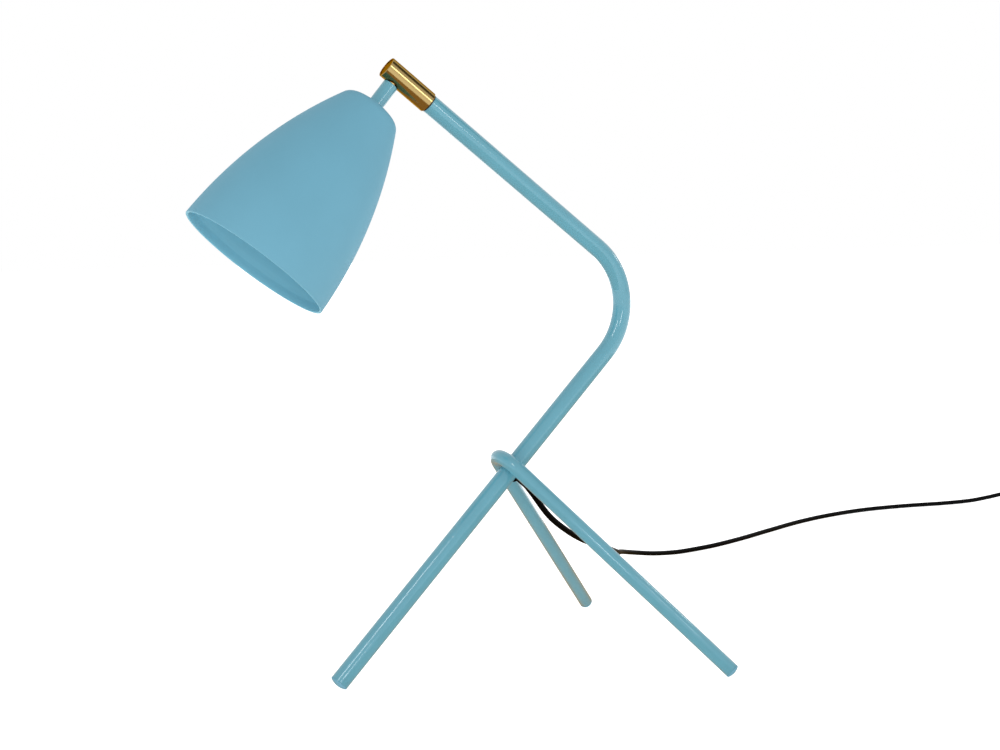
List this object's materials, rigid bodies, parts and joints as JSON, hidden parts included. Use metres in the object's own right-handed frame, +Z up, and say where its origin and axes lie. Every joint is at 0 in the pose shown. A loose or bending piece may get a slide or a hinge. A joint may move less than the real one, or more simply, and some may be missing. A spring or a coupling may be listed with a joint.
{
  "type": "tripod table lamp",
  "caption": "Table lamp on slim tubular tripod legs, with a bent arm, a brass swivel sleeve, a spun metal shade that turns about the arm, and a cord with inline switch and plug.",
  "frame": {"origin": "on the table, under the middle of the lamp's own outline without its cord", "axes": "+Z up; XZ is the plane of symmetry of the stand; the arm and the shade reach towards -X, the rear legs towards +X; +Y is the lamp's far side in the usual three-quarter view"},
  "size_m": [1.3154, 0.5095, 0.5155],
  "materials": {
    "enamel_tube": "semi-gloss light blue enamel",
    "enamel_shade": "satin light blue powder coat",
    "foot_plastic": "moulded in the enamel blue",
    "brass_polished": "polished, lacquered",
    "brass_turned": "turned, unlacquered",
    "steel_turned": "turned, zinc plated",
    "nylon_dark": "dark nylon",
    "nylon_natural": "natural nylon",
    "cord_sheath": "smooth black sheath, slight sheen",
    "tie_plastic": "black strap",
    "wire_insulation": "coloured wire insulation",
    "phenolic": "black thermoset",
    "ceramic_white": "white glazed",
    "nickel_plate": "nickel plated",
    "opal_glass": "opal",
    "switch_plastic": "fine spark texture",
    "rocker_plastic": "smooth dark"
  },
  "bodies": {
    "stand": {"main_tube": "enamel_tube", "rear_legs": "enamel_tube", "leg_weld": "enamel_tube", "front_foot": "foot_plastic", "rear_feet": "foot_plastic", "arm_spindle": "steel_turned", "swivel_washer": "nylon_dark", "friction_ring": "nylon_natural", "cord_grommet": "cord_sheath", "inner_flex": "cord_sheath", "cord_lead": "cord_sheath", "cord_link": "cord_sheath", "cord_coil": "cord_sheath", "cord_end": "cord_sheath", "coil_tie": "tie_plastic", "switch_base": "switch_plastic", "switch_cover": "switch_plastic", "switch_screws": "steel_turned", "switch_terminals": "brass_turned", "switch_contact": "brass_turned", "switch_wires": "wire_insulation", "switch_reliefs": "cord_sheath", "plug_body": "switch_plastic", "plug_boot": "cord_sheath", "plug_pins": "nickel_plate"},
    "head": {"knuckle_sleeve": "brass_polished", "knuckle_cap": "brass_polished", "stop_screw": "steel_turned", "stem_nipple": "brass_turned", "stem_tube": "enamel_tube", "shade": "enamel_shade", "crown_washer": "steel_turned", "crown_nut": "brass_turned", "holder_cap": "phenolic", "holder_skirt": "phenolic", "holder_core": "ceramic_white", "holder_shell": "brass_turned", "centre_contact": "brass_turned", "terminal_screws": "steel_turned", "core_wires": "wire_insulation", "bulb_cap": "nickel_plate", "bulb_contact": "brass_turned", "bulb_globe": "opal_glass"},
    "rocker": {"switch_rocker": "rocker_plastic"}
  },
  "joints": [
    {"name": "head_swivel", "type": "hinge", "parent": "stand", "child": "head", "pos_m": [-0.0334, 0, 0.50159], "axis": [-0.788, 0, 0.6157], "range_deg": [-90, 90]},
    {"name": "switch_rocker_tilt", "type": "hinge", "parent": "stand", "child": "rocker", "pos_m": [1.008, 0.336, 0.013], "axis": [0, 1, 0], "range_deg": [0, 14]}
  ]
}
